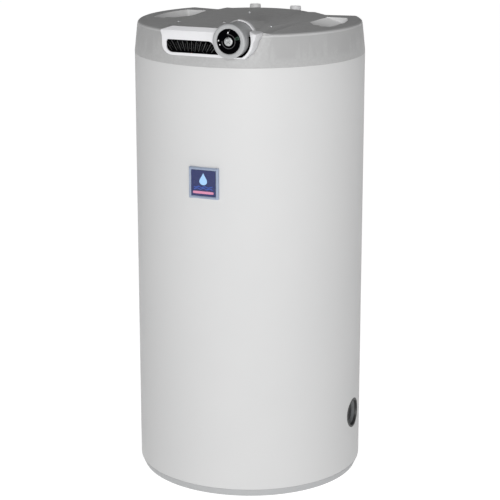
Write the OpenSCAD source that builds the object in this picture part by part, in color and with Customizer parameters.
/* [Jacket and base] */
// Outside diameter of the round steel jacket
jacket_d = 524; // [520:1:540]
// Height of the jacket between the base pan and the top cap
jacket_h = 968; // [940:1:1100]
// Thickness of the jacket sheet
jacket_t = 0.8; // [0.6:0.1:1.2]
// Height of the tapered base pan
base_h = 18; // [14:1:24]

/* [Top cap] */
// Height of the cap from the jacket seam to its rim
cap_h = 71.5; // [68:0.5:80]
// Height of the raised middle of the cap above its rim
plateau_h = 6; // [4:0.5:8]
// Wall thickness of the moulded cap
cap_t = 3; // [2.5:0.5:4]
// Drop of the rear service shelf below the rim
shelf_drop = 31.5; // [25:0.5:36]
// Depth of the grip pockets below the rim
grip_depth = 38; // [30:1:40]

/* [Control panel] */
// Sideways distance of the thermostat knob from the middle
knob_x = 68.5; // [66:0.5:74]
// Radius of the knob's front ring
knob_ring_r = 37.1; // [36.6:0.1:38]
// Distance from the heater's axis to the knob's front face
knob_front = 285; // [275:1:295]
// Distance from the heater's axis to the flat panel face
panel_front = 262.5; // [262:0.5:264]
// Sideways position of the thermometer pivot
thermo_x = -31; // [-40:1:-25]

/* [Tank] */
// Outside radius of the pressure vessel
tank_r = 218; // [212:1:222]
// Wall thickness of the pressure vessel
tank_t = 2.5; // [2:0.5:3]
// Bulge height of each dished end
dish_h = 55; // [45:1:60]
// Height of the side heater port above the floor
port_z = 146; // [140:1:160]

/* [Connections] */
// Outside radius of a three-quarter inch pipe thread
pipe_r = 13.2; // [13:0.1:13.4]
// Distance of the pipe connections behind the heater's axis
pipe_y = 178; // [172:1:184]
// Sideways position of the cold inlet
cold_x = -60; // [-66:1:-54]
// Sideways position of the hot outlet
hot_x = 42; // [36:1:48]

/* [Hidden] */
$fn = 96;

gap = 0.3;
jacket_r = jacket_d / 2;
jacket_in = jacket_r - jacket_t - gap;
seam_z = base_h + jacket_h;
rim_z = seam_z + cap_h;
plateau_z = rim_z + plateau_h;
shelf_z = rim_z - shelf_drop;
rim_r = jacket_r - 9;
top_plate_z = seam_z - 12;
top_plate_t = 1.2;
deck_z = top_plate_z + top_plate_t;

// Control panel: its back edge, top edge and outline
panel_back = 220;
panel_t = 3;
panel_low = seam_z + 21.9;
panel_high = rim_z + 4;
panel_left = -97;
panel_right = 121.5;
panel_round_r = 47;
spur = 3;
visor_rise = 8.3;
opening_r = 42;
arch_r = 36.6;
arch_t = 3.3;
arch_front = 229.5;
hood_r = arch_r + 2;
knob_z = rim_z - 10.3;
hood_end_r = plateau_z - knob_z - 0.1;
drum_r = 36;
drum_back = 224;
spindle_r = 3;
window_left = -86.5;
window_low = seam_z + 27.9;
window_high = seam_z + 55.7;
window_round_r = 46.5;
dial_back = 251.5;
pivot_z = window_low - 1.5;
movement_r = 11;

// Vessel: radius of the dished ends, and the straight shell between them
dish_r = (tank_r * tank_r + dish_h * dish_h) / (2 * dish_h);
shell_low = base_h + 92;
shell_high = seam_z - 106;
upper_centre = shell_high + dish_h - dish_r;
lower_centre = shell_low - dish_h + dish_r;
pan_floor = 6;
pan_floor_low = 3;

// Fittings on the upper head; each pipe is slightly thicker where its thread is
pipe_body_r = pipe_r - 0.2;
pipe_bore = 10.6;
thread_low = shelf_z + 3.5;
pipe_top = rim_z + 10.5;
pipe_clear = 0.05;
sheath_y = -60;
sheath_r = 7;
sheath_top = deck_z + 10;
anode_x = 90;
anode_y = 40;
anode_boss_r = 19;
anode_top = seam_z - 43;
gland_x = 118;
gland_y = 172;
gland_r = 9.9;

// Side port: the layers outward along X
boss_r = 30;
boss_bore = 24;
boss_end = tank_r + 14;
head_end = boss_end + 9;
cap_end = head_end + 10;
cavity_r = 45;
port_hole_r = 33;
rosette_r = 35;
throat_r = 20.5;
cable_x = head_end + 4.3;
cable_r = 3.5;

badge_z = base_h + jacket_h * 0.7366;
badge_half = 35;
rivet_r = 1.6;
rivet_heights = [for (i = [0:8]) base_h + 30 + i * (jacket_h - 60) / 8];

screw_spots = [[-110, -147], [110, -147], [-10, -124], [-25, 58]];

// Points of an arc round (cx, cy), from angle a0 to a1
function arc(cx, cy, r, a0, a1, n = 8) =
    [for (i = [0:n]) [cx + r * cos(a0 + (a1 - a0) * i / n), cy + r * sin(a0 + (a1 - a0) * i / n)]];

// A rectangle with its own radius at each corner: low left, low right, high right, high left
function rounded(x0, y0, x1, y1, r) = concat(
    arc(x0 + r[0], y0 + r[0], r[0], 180, 270), arc(x1 - r[1], y0 + r[1], r[1], 270, 360),
    arc(x1 - r[2], y1 - r[2], r[2], 0, 90), arc(x0 + r[3], y1 - r[3], r[3], 90, 180));

// Extrudes a shape drawn in X and Z from y0 to y1
module along_y(y0, y1) {
    translate([0, y1, 0]) rotate([90, 0, 0]) linear_extrude(y1 - y0) children();
}
// Extrudes a shape drawn in Y and Z from x0 to x1
module along_x(x0, x1) {
    translate([x0, 0, 0]) rotate([90, 0, 90]) linear_extrude(x1 - x0) children();
}
module rod_y(r, y0, y1) {
    translate([0, y0, 0]) rotate([-90, 0, 0]) cylinder(r = r, h = y1 - y0);
}
module rod_x(r, x0, x1) {
    translate([x0, 0, 0]) rotate([0, 90, 0]) cylinder(r = r, h = x1 - x0);
}
module rod_z(r, z0, z1) {
    translate([0, 0, z0]) cylinder(r = r, h = z1 - z0);
}
module tube_z(r, bore, z0, z1) {
    difference() {
        rod_z(r, z0, z1);
        rod_z(bore, z0 - 1, z1 + 1);
    }
}
module dish(r) {
    sphere(r = r, $fn = 360);
}
module at_knob() {
    translate([knob_x, 0, knob_z]) children();
}
module at_port() {
    translate([0, 0, port_z]) children();
}

// A round wire swept along a smooth curve through hand-placed points
function unit(v) = v / norm(v);
function heading(p, i) = i == 0 ? unit(p[1] - p[0])
    : i == len(p) - 1 ? unit(p[i] - p[i - 1])
    : unit(unit(p[i + 1] - p[i]) + unit(p[i] - p[i - 1]));
function spline(p, i, t) =
    let (a = p[i], b = p[i + 1], reach = norm(b - a),
         m0 = reach * heading(p, i), m1 = reach * heading(p, i + 1))
    (2 * pow(t, 3) - 3 * pow(t, 2) + 1) * a + (pow(t, 3) - 2 * pow(t, 2) + t) * m0
    + (3 * pow(t, 2) - 2 * pow(t, 3)) * b + (pow(t, 3) - pow(t, 2)) * m1;
module wire(points, r, steps = 3, sides = 8) {
    path = concat([for (i = [0:len(points) - 2]) for (s = [0:steps - 1]) spline(points, i, s / steps)],
                  [points[len(points) - 1]]);
    n = len(path);
    side_ref = [0.31, 0.83, 0.46];
    rings = [for (i = [0:n - 1])
        let (dir = unit(path[min(i + 1, n - 1)] - path[max(i - 1, 0)]),
             u = unit(cross(dir, side_ref)), v = cross(dir, u))
        for (k = [0:sides - 1])
            path[i] + r * (cos(360 * k / sides) * u + sin(360 * k / sides) * v)];
    walls = [for (i = [0:n - 2]) for (k = [0:sides - 1])
        [(i + 1) * sides + k, (i + 1) * sides + (k + 1) % sides, i * sides + (k + 1) % sides,
         i * sides + k]];
    polyhedron(rings, concat(walls, [[for (k = [0:sides - 1]) k]],
                             [[for (k = [sides - 1:-1:0]) (n - 1) * sides + k]]), convexity = 6);
}

// ---- Jacket and base ----

module jacket() {
    lap = 12;
    color("whitesmoke") difference() {
        union() {
            tube_z(jacket_r, jacket_r - jacket_t, base_h, seam_z);
            // The rear lap seam: one edge of the sheet lies over the other
            intersection() {
                tube_z(jacket_r + jacket_t, jacket_r - jacket_t / 2, base_h + 2, seam_z - 2);
                translate([-lap, jacket_r - 20, 0]) cube([2 * lap, 40, seam_z]);
            }
        }
        at_port() rod_x(port_hole_r, jacket_r - 20, jacket_r + 20);
        for (z = rivet_heights) translate([0, 0, z])
            rod_y(rivet_r + pipe_clear, jacket_r - 5, jacket_r + 5);
    }
}

module jacket_rivets() {
    seat = jacket_r + jacket_t;
    color("silver") for (z = rivet_heights) translate([0, 0, z]) {
        rod_y(2 * rivet_r, seat + 0.02, seat + 1);
        rod_y(rivet_r, jacket_r - jacket_t + 0.1, seat + 0.5);
    }
}

// The base pan stands on its outer edge, on a ring below the tank stand and on a middle pad
module base_pan() {
    foot_r = jacket_r - 8;
    lip_t = 3;
    color("silver") {
        rotate_extrude() polygon([
            [0, pan_floor_low], [foot_r - 3, pan_floor_low], [foot_r - 3, 0], [foot_r, 0],
            [jacket_r, base_h], [jacket_in, base_h], [jacket_in, base_h + 12],
            [jacket_in - lip_t, base_h + 12], [jacket_in - lip_t, base_h],
            [foot_r - 0.5, pan_floor], [0, pan_floor]]);
        tube_z(156, 146, 0, pan_floor_low);
        rod_z(24, 0, pan_floor_low);
    }
}

// ---- Top cap ----

// The turned body of the cap; inset shrinks it evenly for the hollow inside
module cap_turned(inset) {
    shoulder = 8.5;
    draft = 6.4;
    side_r = jacket_r - inset;
    top = rim_z - inset;
    rotate_extrude() polygon(concat(
        [[0, seam_z - inset], [side_r, seam_z - inset], [side_r, seam_z + 4]],
        arc(side_r - draft - shoulder, top - shoulder, shoulder, 0, 90, 6),
        [[0, top]]));
}

// The raised middle; its front left flank runs obliquely back from the panel's corner
module cap_hump(inset) {
    flank = 25;
    half = 135;
    oblique_flank = 16;
    oblique_turn = 20.8;
    low = rim_z - inset - 5;
    intersection() {
        along_y(-rim_r, 200) polygon([
            [-half, low], [-half, rim_z - inset], [flank - half, plateau_z - inset],
            [half - flank, plateau_z - inset], [half, rim_z - inset], [half, low]]);
        translate([panel_left - spur - 2, -panel_back - 5, 0]) rotate([0, 0, oblique_turn])
            along_y(-100, 500) polygon([
                [0, low], [0, rim_z - inset], [oblique_flank, plateau_z - inset],
                [500, plateau_z - inset], [500, low]]);
        along_x(-half, half) polygon([
            [-rim_r, low], [2 - rim_r, rim_z - inset], [-panel_back - 2, plateau_z - inset],
            [200, plateau_z - inset], [200, low]]);
        rod_z(rim_r - inset, low, plateau_z + 1);
    }
}

// A half cone that fairs the space behind the knob into the plateau
module cap_hood(inset) {
    length = 155.4;
    at_knob() translate([0, -panel_back, 0]) rotate([-90, 0, 0])
        cylinder(h = length, r1 = hood_r - inset, r2 = hood_end_r - inset);
}

// The left upper part of a ring in front of the hood; grow widens it
module hood_lip(grow) {
    at_knob() intersection() {
        difference() {
            rod_y(hood_r + grow, -arch_front - grow, -panel_back + 0.5);
            rod_y(arch_r - grow, -arch_front - 1, -panel_back + 1);
        }
        translate([-60, -arch_front - 1, 10 - grow]) cube([58 + grow, 30, 60]);
    }
}

// The space cut away at the rear for the pipes; grow widens it to leave a wall
module rear_recess(grow) {
    side_x = 95;
    side_y = 122;
    bulge_r = 143.3;
    bulge_y = 14.7;
    far = 300;
    slope = 0.19;
    translate([0, 0, shelf_z - grow]) linear_extrude(100) difference() {
        polygon([[-far, side_y - grow + slope * (far - side_x)], [-side_x, side_y - grow],
                 [side_x, side_y - grow], [far, side_y - grow + slope * (far - side_x)],
                 [far, far], [-far, far]]);
        translate([0, bulge_y]) circle(r = bulge_r - grow);
    }
}

// One hand grip: a deep pocket against the outer wall, and a ramp that leads into it
module grip_pocket(grow) {
    deep_x = 187;
    ramp_x = 145;
    ramp_drop = 12;
    front = -57;
    back = 97;
    intersection() {
        rod_z(222 + grow, rim_z - grip_depth - grow, rim_z + 40);
        translate([deep_x - grow, front - grow, 0])
            cube([60, back - front + 2 * grow, rim_z + 40]);
    }
    intersection() {
        rod_z(222 + grow, rim_z - grip_depth, rim_z + 40);
        linear_extrude(rim_z + 40) polygon([
            [ramp_x - grow, 0], [168 - grow, -40 - grow], [209, front - grow + 2],
            [209, back + grow], [150 - grow, back + grow]]);
        along_y(front - 10, back + 10) polygon([
            [ramp_x - grow, rim_z - grow], [deep_x, rim_z - ramp_drop - grow],
            [215, rim_z - ramp_drop - grow], [215, rim_z + 40], [ramp_x - grow, rim_z + 40]]);
    }
}
module grip_pockets(grow) {
    grip_pocket(grow);
    mirror([1, 0, 0]) grip_pocket(grow);
}

module cap_envelope(inset) {
    difference() {
        union() {
            cap_turned(inset);
            cap_hump(inset);
            cap_hood(inset);
        }
        rear_recess(inset);
        grip_pockets(inset);
    }
}

module top_cap() {
    lip_t = 3;
    color("darkgray") difference() {
        union() {
            difference() {
                cap_envelope(0);
                cap_envelope(cap_t);
            }
            // The lip that locates the cap inside the jacket
            tube_z(jacket_in, jacket_in - lip_t, seam_z - 7, seam_z + 3);
        }
        difference() {
            along_y(-panel_back - 100, -panel_back) panel_outline(0.4, rim_z + 60);
            // The left half of the hood reaches forward to the knob
            hood_lip(0);
        }
        for (x = [cold_x, hot_x]) translate([x, pipe_y]) rod_z(18, shelf_z - 10, shelf_z + 10);
        translate([gland_x, gland_y]) rod_z(gland_r + 0.1, shelf_z - 10, shelf_z + 10);
        for (s = screw_spots) translate(s) rod_z(2.2, rim_z - 10, plateau_z + 5);
    }
}

module cap_screws() {
    color("gainsboro") for (s = screw_spots) translate(s) {
        difference() {
            rod_z(4.2, plateau_z + 0.05, plateau_z + 2.2);
            for (turn = [0, 90]) rotate([0, 0, turn])
                translate([-2.4, -0.5, plateau_z + 1]) cube([4.8, 1, 2]);
        }
        rod_z(2, plateau_z - 18, plateau_z + 0.1);
    }
}

module cap_posts() {
    color("dimgray") for (s = screw_spots) translate(s) difference() {
        union() {
            rod_z(6, deck_z, rim_z + 0.8);
            rod_z(11, deck_z, deck_z + 3);
        }
        rod_z(2.05, rim_z - 22, rim_z + 2);
    }
}

module top_plate() {
    color("lightgray") difference() {
        rod_z(jacket_in - 3.4, top_plate_z, deck_z);
        for (x = [cold_x, hot_x]) translate([x, pipe_y]) rod_z(16, 0, rim_z);
        translate([0, sheath_y]) rod_z(sheath_r + gap, 0, rim_z);
        translate([anode_x, anode_y]) rod_z(26, 0, rim_z);
        translate([cable_x, 0]) rod_z(7.3, 0, rim_z);
    }
}

// ---- Control panel ----

// Front outline of the panel up to a given top: rounded below, on the right round the knob
module panel_outline(grow, top) {
    corner = 24;
    round_r = panel_round_r + grow;
    low = panel_low - grow;
    spur_low = rim_z - 9;
    spur_high = min(top - 0.5, rim_z + 0.5);
    polygon(concat(
        arc(panel_left + corner, panel_low + corner, corner + grow, 180, 270),
        arc(knob_x, knob_z, round_r, -asin((knob_z - low) / round_r), -6, 12),
        [[panel_right + grow - 3, spur_low], [panel_right + grow, spur_high],
         [panel_right + grow, top], [panel_left - spur - grow, top],
         [panel_left - spur - grow, spur_high], [panel_left - grow, spur_low]]));
}

// Outline of the thermometer window, whose right end follows the knob
function window_outline(corner) = let (
        round_r = window_round_r,
        centre_z = window_high - corner,
        turn = asin((knob_z - centre_z) / (round_r + corner)))
    concat(
        arc(window_left + 14, window_low + 14, 14, 180, 270),
        arc(knob_x, knob_z, round_r, 180 + asin((knob_z - window_low) / round_r), 180 + turn),
        arc(knob_x - (round_r + corner) * cos(turn), centre_z, corner, turn, 90),
        arc(window_left + 5, window_high - 5, 5, 90, 180));

// The space round the knob, cut off flat just above the panel's floor
module knob_opening(r, front, back) {
    at_knob() intersection() {
        rod_y(r, -front, -back);
        translate([-60, -front - 1, -arch_r - 0.1]) cube([120, front - back + 2, 120]);
    }
}

module fascia() {
    end_slope = 24;
    left_end = panel_left - spur;
    visor_z = panel_high + visor_rise;
    color("white") difference() {
        union() {
            // The panel box, with a visor above its front that slopes away at both ends
            difference() {
                intersection() {
                    along_y(-panel_front, -panel_back - gap) panel_outline(0, rim_z + 20);
                    along_x(-150, 150) polygon([
                        [-panel_front - 1, 0], [-panel_back, 0], [-panel_back, plateau_z],
                        [-panel_back - 3, plateau_z], [-panel_front + visor_rise + 1, visor_z],
                        [-panel_front + visor_rise, visor_z], [-panel_front, panel_high],
                        [-panel_front - 1, panel_high - 1]]);
                    along_y(-panel_front - 1, -panel_back) polygon([
                        [-150, 0], [150, 0], [150, panel_high], [panel_right, panel_high],
                        [panel_right - end_slope, visor_z], [left_end + end_slope, visor_z],
                        [left_end, panel_high], [-150, panel_high]]);
                }
                along_y(-panel_front + panel_t, 0) panel_outline(-panel_t, rim_z - 1);
            }
            // The right half of the arch over the knob
            at_knob() difference() {
                rod_y(arch_r + arch_t, -arch_front, -panel_back - gap);
                translate([-60, -arch_front - 1, -60]) cube([120, 30, 66]);
                translate([-60, -arch_front - 1, -1]) cube([58 + gap, 30, 60]);
            }
        }
        knob_opening(opening_r, panel_front + 30, arch_front);
        at_knob() rod_y(arch_r, -arch_front - 1, -panel_back + 1);
        hood_lip(gap);
        along_y(-panel_front - 1, -panel_front + panel_t + 1) polygon(window_outline(13));
        // The floor is open below the thermometer's movement
        translate([thermo_x - movement_r - 2, -dial_back - 1, panel_low - 1])
            cube([2 * movement_r + 4, 40, 12]);
    }
}

// Half of the black ring behind the edge of the knob opening, left (-1) or right (1)
module opening_ring(side) {
    difference() {
        intersection() {
            knob_opening(opening_r + 1.5, panel_front - panel_t - 0.2, dial_back);
            along_y(-panel_front, -panel_back) panel_outline(-panel_t - 0.4, rim_z - 1.4);
            translate([knob_x + 30 * side, -panel_front, knob_z]) cube([60, 60, 120], center = true);
        }
        at_knob() rod_y(arch_r, -panel_front, -panel_back);
    }
}

// The black plate behind the window carries the left half of the ring
module dial_plate() {
    color("black") {
        opening_ring(-1);
        difference() {
            intersection() {
                along_y(-dial_back - 1.5, -dial_back) polygon(rounded(
                    window_left - 4, pivot_z - 1.2, knob_x, window_high + 3, [6, 6, 6, 6]));
                along_y(-panel_front, -panel_back) panel_outline(-panel_t - 0.4, rim_z - 1.4);
            }
            // The notch for the pointer's pin
            translate([thermo_x - 1.2, -panel_front, pivot_z - 3]) cube([2.4, 20, 4.2]);
            at_knob() rod_y(arch_r, -panel_front, -panel_back);
        }
    }
}

module knob_liner() {
    color("black") opening_ring(1);
}

module thermometer_window() {
    color("lightblue", 0.4) difference() {
        along_y(-panel_front + panel_t + 0.2, -panel_front + panel_t + 1.7) polygon(rounded(
            window_left - 3, window_low - 2.6, knob_x - 28, window_high + 3, [14, 6, 6, 6]));
        at_knob() rod_y(opening_r + 2, -panel_front, -panel_back);
    }
}

// The pointer lies flat at its cold stop, below the window's lower edge
module thermometer_pointer() {
    reach = 31;
    hub = 1.1;
    front = -dial_back - 4.4;
    color("orangered") translate([thermo_x, 0, pivot_z]) {
        rod_y(hub, front, front + 1.4);
        rod_y(0.8, front, -dial_back + 8);
        along_y(front + 0.2, front + 1)
            polygon([[-reach, 0.3], [-reach, -0.3], [0, -0.9], [0.9, 0], [0, 0.9]]);
    }
}

module thermometer_movement() {
    front = -dial_back + 0.2;
    color("gold") translate([thermo_x, 0, pivot_z]) difference() {
        union() {
            rod_y(movement_r - 2, front, front + 16);
            rod_y(movement_r, front, front + 2);
        }
        rod_y(0.85, front - 1, front + 10);
    }
}

module knob_body() {
    skin = 3;
    face = 2;
    color("silver") at_knob() difference() {
        rotate([90, 0, 0]) rotate_extrude() polygon([
            [0, knob_front - 7], [0, knob_front - face], [27.4, knob_front - face],
            [27.9, knob_front - 1], [29.4, knob_front], [knob_ring_r - 1.6, knob_front],
            [knob_ring_r - 0.4, knob_front - 0.6], [knob_ring_r, knob_front - 2],
            [knob_ring_r, knob_front - 7], [drum_r, knob_front - 8.5], [drum_r, drum_back],
            [drum_r - skin, drum_back], [drum_r - skin, knob_front - 7], [7, knob_front - 7],
            [7, knob_front - 34], [0, knob_front - 34]]);
        rod_y(spindle_r + 0.03, -knob_front + 8, -panel_back);
    }
}

module knob_dial() {
    color("black") at_knob() difference() {
        rod_y(27.1, -knob_front + 0.8, -knob_front + 1.9);
        rod_y(5, -knob_front - 5, -knob_front + 5);
    }
}

module knob_centre_cap() {
    color("gainsboro") at_knob() {
        rotate([90, 0, 0]) rotate_extrude() polygon([
            [0, knob_front - 0.7], [9.8, knob_front - 0.7], [9.8, knob_front + 0.6],
            [8.6, knob_front + 1.8], [0, knob_front + 1.8]]);
        rod_y(4.9, -knob_front + 0.6, -knob_front + 1.9);
    }
}

module thermostat_spindle() {
    color("silver") at_knob() difference() {
        rod_y(spindle_r, -knob_front + 10, -182);
        translate([-5, -knob_front, 2.2]) cube([10, 24, 5]);
    }
}

module thermostat_body() {
    front = -190;
    color("ivory") at_knob() difference() {
        union() {
            translate([-18, front, -20]) cube([36, 38, 30]);
            rod_y(5, front - 9, front + 1);
            for (x = [-10, 0, 10]) translate([x - 3, front + 38, -8]) cube([6, 8, 0.8]);
        }
        rod_y(spindle_r + 0.05, front - 10, front + 9);
    }
}

module control_bracket() {
    color("lightsteelblue") difference() {
        union() {
            translate([knob_x - 24, -191.8, deck_z + gap]) cube([42, 1.5, knob_z + 10 - deck_z]);
            translate([knob_x - 24, -191.8, deck_z + gap]) cube([42, 44, 1.5]);
        }
        at_knob() rod_y(5.1, -200, -180);
    }
}

module cutout_body() {
    color("tan") translate([8, -160, deck_z + gap]) difference() {
        union() {
            translate([-18, -15, 0]) cube([36, 30, 26]);
            for (x = [-12, 6]) translate([x, 15, 8]) cube([6, 8, 0.8]);
            rod_z(6, 25, 29);
        }
        rod_z(3.3, 19, 40);
    }
}

module reset_button() {
    color("red") translate([8, -160, deck_z + gap]) rod_z(3, 22, 34);
}

module terminal_block() {
    color("beige") translate([90, -62, deck_z + gap]) difference() {
        union() {
            cube([60, 26, 16]);
            translate([0, 5, 15]) cube([60, 16, 5]);
        }
        for (i = [0:4]) translate([6 + 12 * i, 0, 0]) {
            translate([0, 13, 8]) rod_z(3.5, 0, 20);
            translate([0, 0, 7]) rod_y(2.4, -1, 27);
        }
    }
}

module terminal_screws() {
    color("gold") for (i = [0:4]) translate([96 + 12 * i, -49, deck_z + gap]) difference() {
        rod_z(3.2, 9.5, 17);
        translate([-4, -0.5, 15.8]) cube([8, 1, 2]);
    }
}

module earth_stud() {
    color("gold") translate([30, -20]) {
        rod_z(3, deck_z, deck_z + 18);
        translate([0, 0, deck_z]) cylinder(r = 5.8, h = 5, $fn = 6);
        rod_z(7, deck_z + 5, deck_z + 6);
        translate([0, 0, deck_z + 7]) cylinder(r = 5.8, h = 5, $fn = 6);
    }
}

module control_wires() {
    low = deck_z + 12;
    color("blue") {
        wire([[knob_x, -143, knob_z - 7.6], [knob_x + 2, -132, knob_z - 12], [88, -110, low + 14],
              [100, -84, low + 6], [102, -72, deck_z + 10], [102, -62.5, deck_z + 7.3]], 1.3);
        wire([[knob_x - 10, -143, knob_z - 7.6], [knob_x - 14, -130, knob_z - 14],
              [40, -126, low + 12], [24, -122, low + 3], [17, -127, deck_z + 10.5],
              [17, -136, deck_z + 9]], 1.3);
        wire([[-1, -136, deck_z + 9], [-1, -126, deck_z + 7], [20, -104, deck_z + 3],
              [70, -90, deck_z + 3], [106, -82, deck_z + 3], [114, -72, deck_z + 6],
              [114, -62.5, deck_z + 7.3]], 1.3);
    }
}

module cable_gland() {
    bore = 4.6;
    color("dimgray") translate([gland_x, gland_y]) difference() {
        union() {
            rod_z(gland_r, shelf_z - 14, shelf_z + 2);
            translate([0, 0, shelf_z + gap]) cylinder(r = 14, h = 7, $fn = 6);
            translate([0, 0, shelf_z + 7]) cylinder(r1 = 11.8, r2 = 10.6, h = 10);
            translate([0, 0, shelf_z + 17]) cylinder(r1 = 10.6, r2 = 7.5, h = 3);
            translate([0, 0, shelf_z - cap_t - 5.3]) cylinder(r = 13.5, h = 5, $fn = 6);
        }
        rod_z(bore, shelf_z - 20, shelf_z + 30);
    }
}

module thermometer_capillary() {
    color("goldenrod") {
        translate([3.1, sheath_y]) rod_z(2.4, 500, 590);
        wire([[3.1, sheath_y, 585], [3.1, sheath_y, sheath_top - 6], [3.1, sheath_y, sheath_top + 3],
              [-4, -76, sheath_top + 9], [-24, -104, sheath_top + 6], [-44, -150, sheath_top + 2],
              [thermo_x, -205, pivot_z], [thermo_x, -dial_back + 17, pivot_z]], 0.8);
    }
}

module thermostat_capillary() {
    color("goldenrod") {
        translate([-3, sheath_y]) rod_z(2.8, 500, 600);
        wire([[-3, sheath_y, 595], [-3, sheath_y, sheath_top - 6], [-3, sheath_y, sheath_top + 3],
              [6, -66, sheath_top + 10], [34, -84, sheath_top + 14], [58, -116, sheath_top + 24],
              [62, -140, knob_z - 16], [62, -151, knob_z - 16]], 0.8);
    }
}

// ---- Pressure vessel ----

module tank_shell() {
    color("slategray") difference() {
        tube_z(tank_r, tank_r - tank_t, shell_low, shell_high);
        at_port() rod_x(boss_r + gap, tank_r - 40, tank_r + 10);
    }
}

module upper_head() {
    color("slategray") difference() {
        intersection() {
            translate([0, 0, upper_centre]) dish(dish_r);
            rod_z(tank_r, shell_high, seam_z);
        }
        translate([0, 0, upper_centre]) dish(dish_r - tank_t);
        for (x = [cold_x, hot_x]) translate([x, pipe_y]) rod_z(pipe_body_r + pipe_clear, 0, seam_z);
        translate([0, sheath_y]) rod_z(sheath_r + pipe_clear, 0, seam_z);
        translate([anode_x, anode_y]) rod_z(anode_boss_r + pipe_clear, 0, seam_z);
    }
}

module lower_head() {
    color("slategray") difference() {
        intersection() {
            translate([0, 0, lower_centre]) dish(dish_r);
            rod_z(tank_r, 0, shell_low);
        }
        translate([0, 0, lower_centre]) dish(dish_r - tank_t);
    }
}

module tank_stand() {
    color("dimgray") difference() {
        union() {
            tube_z(153, 150, pan_floor, shell_low);
            tube_z(162, 150, pan_floor, pan_floor + 2);
        }
        translate([0, 0, lower_centre]) dish(dish_r + 0.1);
    }
}

// A pipe welded into the upper head, with its threaded end above the shelf
module pipe_at(x) {
    color("lightgray") translate([x, pipe_y]) difference() {
        union() {
            rod_z(pipe_body_r, shell_high - 5, thread_low + 1);
            rod_z(pipe_r, thread_low, pipe_top);
        }
        rod_z(pipe_bore, shell_high - 6, pipe_top + 1);
    }
}

module cold_inlet_pipe() {
    pipe_at(cold_x);
}

module dip_tube() {
    color("white") translate([cold_x, pipe_y]) difference() {
        tube_z(pipe_bore - 0.3, pipe_bore - 1.8, 170, pipe_top - 25);
        translate([0, 0, shell_high - 40]) rod_x(1.5, -20, 0);
    }
}

module cold_diffuser() {
    color("white") translate([cold_x, pipe_y]) difference() {
        rod_z(16, 152, 186);
        rod_z(pipe_bore - 0.25, 170, 190);
        rod_z(13, 155, 168);
        for (turn = [0, 60, 120]) rotate([0, 0, turn]) translate([-20, -3, 157]) cube([40, 6, 8]);
    }
}

module hot_outlet_pipe() {
    pipe_at(hot_x);
}

module pipe_collars() {
    color("slategray") for (x = [cold_x, hot_x]) difference() {
        translate([x, pipe_y]) tube_z(18, pipe_body_r + pipe_clear, shell_high, shell_high + 34);
        translate([0, 0, upper_centre]) dish(dish_r + 0.1);
    }
}

module pipe_grommets() {
    color("white") for (x = [cold_x, hot_x]) translate([x, pipe_y]) {
        tube_z(17.8, pipe_r + 0.2, shelf_z - cap_t - 3, shelf_z + 2);
        tube_z(21, pipe_r + 0.2, shelf_z + 0.2, shelf_z + 3);
    }
}

module sensor_sheath() {
    color("silver") translate([0, sheath_y]) difference() {
        rod_z(sheath_r, 480, sheath_top);
        rod_z(sheath_r - 1, 482, sheath_top + 1);
    }
}

module anode_boss() {
    color("slategray") translate([anode_x, anode_y])
        tube_z(anode_boss_r, 13, shell_high + 30, anode_top);
}

module anode_plug() {
    color("gold") translate([anode_x, anode_y]) {
        rod_z(12.9, shell_high + 36, anode_top + 3);
        translate([0, 0, anode_top + 2]) cylinder(r = 18, h = 12, $fn = 6);
    }
}

module anode_gasket() {
    color("black") translate([anode_x, anode_y]) tube_z(17, 13.2, anode_top, anode_top + 1.9);
}

module anode_rod() {
    color("lightgray") translate([anode_x, anode_y]) {
        rod_z(11, 480, shell_high + 20);
        rod_z(4, shell_high + 20, shell_high + 36);
    }
}

// ---- Immersion heater ----

module heater_boss() {
    color("slategray") at_port() difference() {
        rod_x(boss_r, tank_r - 10, boss_end);
        rod_x(boss_bore, tank_r - 20, boss_end + 1);
    }
}

module heater_head() {
    color("gold") at_port() {
        rod_x(boss_bore - 0.1, tank_r - 12, boss_end + 3);
        translate([boss_end + 2, 0, 0]) rotate([0, 90, 0]) cylinder(r = 29, h = 7, $fn = 6);
    }
}

module heater_gasket() {
    color("black") at_port() difference() {
        rod_x(28, boss_end, boss_end + 1.9);
        rod_x(boss_bore + 0.1, boss_end - 1, boss_end + 3);
    }
}

// Three hairpin elements, each longer than the last so that their bends clear each other
module heating_rods() {
    rod_r = 4.2;
    bend_r = 11.5;
    root = tank_r - 12.2;
    color("silver") at_port() for (i = [0:2]) rotate([60 * i, 0, 0]) {
        far = -110 + 24 * i;
        for (side = [-1, 1]) translate([0, side * bend_r, 0]) rod_x(rod_r, far, root);
        translate([far, 0, 0]) rotate([0, 0, 90]) rotate_extrude(angle = 180)
            translate([bend_r, 0]) circle(r = rod_r);
    }
}

module heater_terminal_cap() {
    color("black") at_port() difference() {
        union() {
            rod_x(20.2, head_end + gap, cap_end - 1);
            rod_x(18.6, head_end + 2, cap_end);
        }
        rod_x(17, head_end, cap_end - 3);
        // The notch that lets the cable in
        translate([cable_x, 0, 0]) rod_z(cable_r + gap, 15, 30);
        translate([head_end, -cable_r - gap, 15]) cube([cable_x - head_end, 2 * (cable_r + gap), 15]);
    }
}

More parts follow.
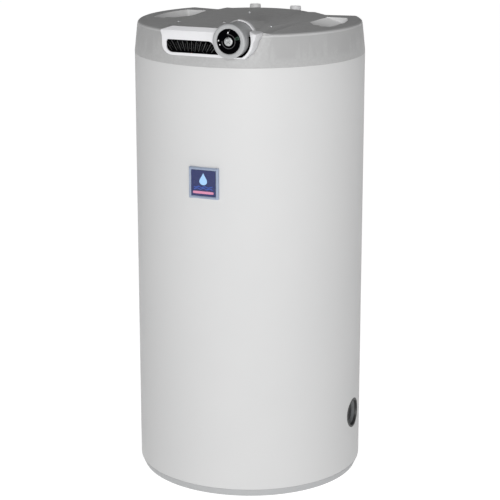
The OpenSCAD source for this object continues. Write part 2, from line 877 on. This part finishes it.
// A rubber funnel that closes the gap between the jacket and the heater
module port_rosette() {
    mouth = jacket_r - 6;
    throat_x = cap_end - 1.8;
    color("black") at_port() {
        difference() {
            intersection() {
                rod_x(rosette_r, mouth - 4, jacket_r + 5);
                translate([0, 0, -60]) cylinder(r = jacket_r + 1, h = 120, $fn = 360);
            }
            difference() {
                translate([0, 0, -60]) cylinder(r = jacket_r + 0.1, h = 120, $fn = 360);
                rod_x(port_hole_r - 0.3, 200, 300);
            }
            rod_x(port_hole_r - 3.3, mouth - 5, jacket_r + 9);
        }
        translate([throat_x, 0, 0]) rotate([0, 90, 0]) rotate_extrude() polygon([
            [throat_r, 0], [throat_r, 1], [port_hole_r - 3.4, mouth - throat_x],
            [port_hole_r - 1, mouth - throat_x], [throat_r + 2.2, 0]]);
    }
}

module cable_conduit() {
    color("gray") translate([cable_x, 0]) tube_z(7, 5.5, port_z + cavity_r - 2, deck_z + 4);
}

module heater_cable() {
    x = cable_x;
    top = deck_z + 9;
    color("white")
        wire([[x, 0, port_z + 16], [x, 0, top - 3], [x, 0, top + 3], [x - 5, -3, top + 12],
              [x - 20, -12, top + 16], [x - 48, -28, top + 12], [172, -42, top + 2],
              [161, -47, deck_z + 8], [151.5, -48, deck_z + 8]], cable_r);
}

// ---- Insulation ----

module side_insulation() {
    color("khaki") difference() {
        tube_z(jacket_in, tank_r + gap, shell_low, shell_high);
        at_port() rod_x(cavity_r, tank_r - 30, jacket_r + 5);
        translate([cable_x, 0]) rod_z(7.3, port_z, shell_high + 1);
    }
}

module top_insulation() {
    color("khaki") difference() {
        rod_z(jacket_in - gap, shell_high + 0.1, top_plate_z - 0.1);
        translate([0, 0, upper_centre]) dish(dish_r + gap);
        for (x = [cold_x, hot_x]) translate([x, pipe_y]) rod_z(18.5, 0, seam_z);
        translate([0, sheath_y]) rod_z(sheath_r + gap, 0, seam_z);
        translate([anode_x, anode_y]) rod_z(26, 0, seam_z);
        translate([cable_x, 0]) rod_z(7.3, 0, seam_z);
    }
}

module base_insulation() {
    lip = base_h + 12.3;
    color("khaki") difference() {
        union() {
            rod_z(jacket_in - 3.4, base_h, lip + 1);
            rod_z(jacket_r - 9, pan_floor + 0.2, base_h + 1);
            rod_z(jacket_in - gap, lip, shell_low - 0.1);
        }
        translate([0, 0, lower_centre]) dish(dish_r + gap);
        tube_z(153.3, 149.7, 0, shell_low);
        rod_z(162.3, 0, pan_floor + 2.3);
        at_port() rod_x(cavity_r, tank_r - 60, jacket_r + 5);
    }
}

// ---- Badge ----

module badge_frame() {
    color("lightsteelblue") translate([0, 0, badge_z]) difference() {
        translate([-badge_half, -jacket_r - 6, -badge_half])
            cube([2 * badge_half, 10, 2 * badge_half]);
        translate([-29, -jacket_r - 7, -29]) cube([58, 5, 58]);
        translate([0, 0, -50]) cylinder(r = jacket_r + 0.1, h = 100, $fn = 360);
    }
}

module badge_plate() {
    color("navy") translate([-28.8, -jacket_r - 4.6, badge_z - 28.8]) cube([57.6, 2.5, 57.6]);
}

jacket();
jacket_rivets();
base_pan();
top_cap();
cap_screws();
cap_posts();
top_plate();
fascia();
dial_plate();
knob_liner();
thermometer_window();
thermometer_pointer();
thermometer_movement();
thermometer_capillary();
knob_body();
knob_dial();
knob_centre_cap();
thermostat_spindle();
thermostat_body();
thermostat_capillary();
control_bracket();
cutout_body();
reset_button();
terminal_block();
terminal_screws();
earth_stud();
control_wires();
cable_gland();
tank_shell();
upper_head();
lower_head();
tank_stand();
cold_inlet_pipe();
dip_tube();
cold_diffuser();
hot_outlet_pipe();
pipe_collars();
pipe_grommets();
sensor_sheath();
anode_boss();
anode_plug();
anode_gasket();
anode_rod();
heater_boss();
heater_head();
heater_gasket();
heating_rods();
heater_terminal_cap();
port_rosette();
cable_conduit();
heater_cable();
side_insulation();
top_insulation();
base_insulation();
badge_frame();
badge_plate();
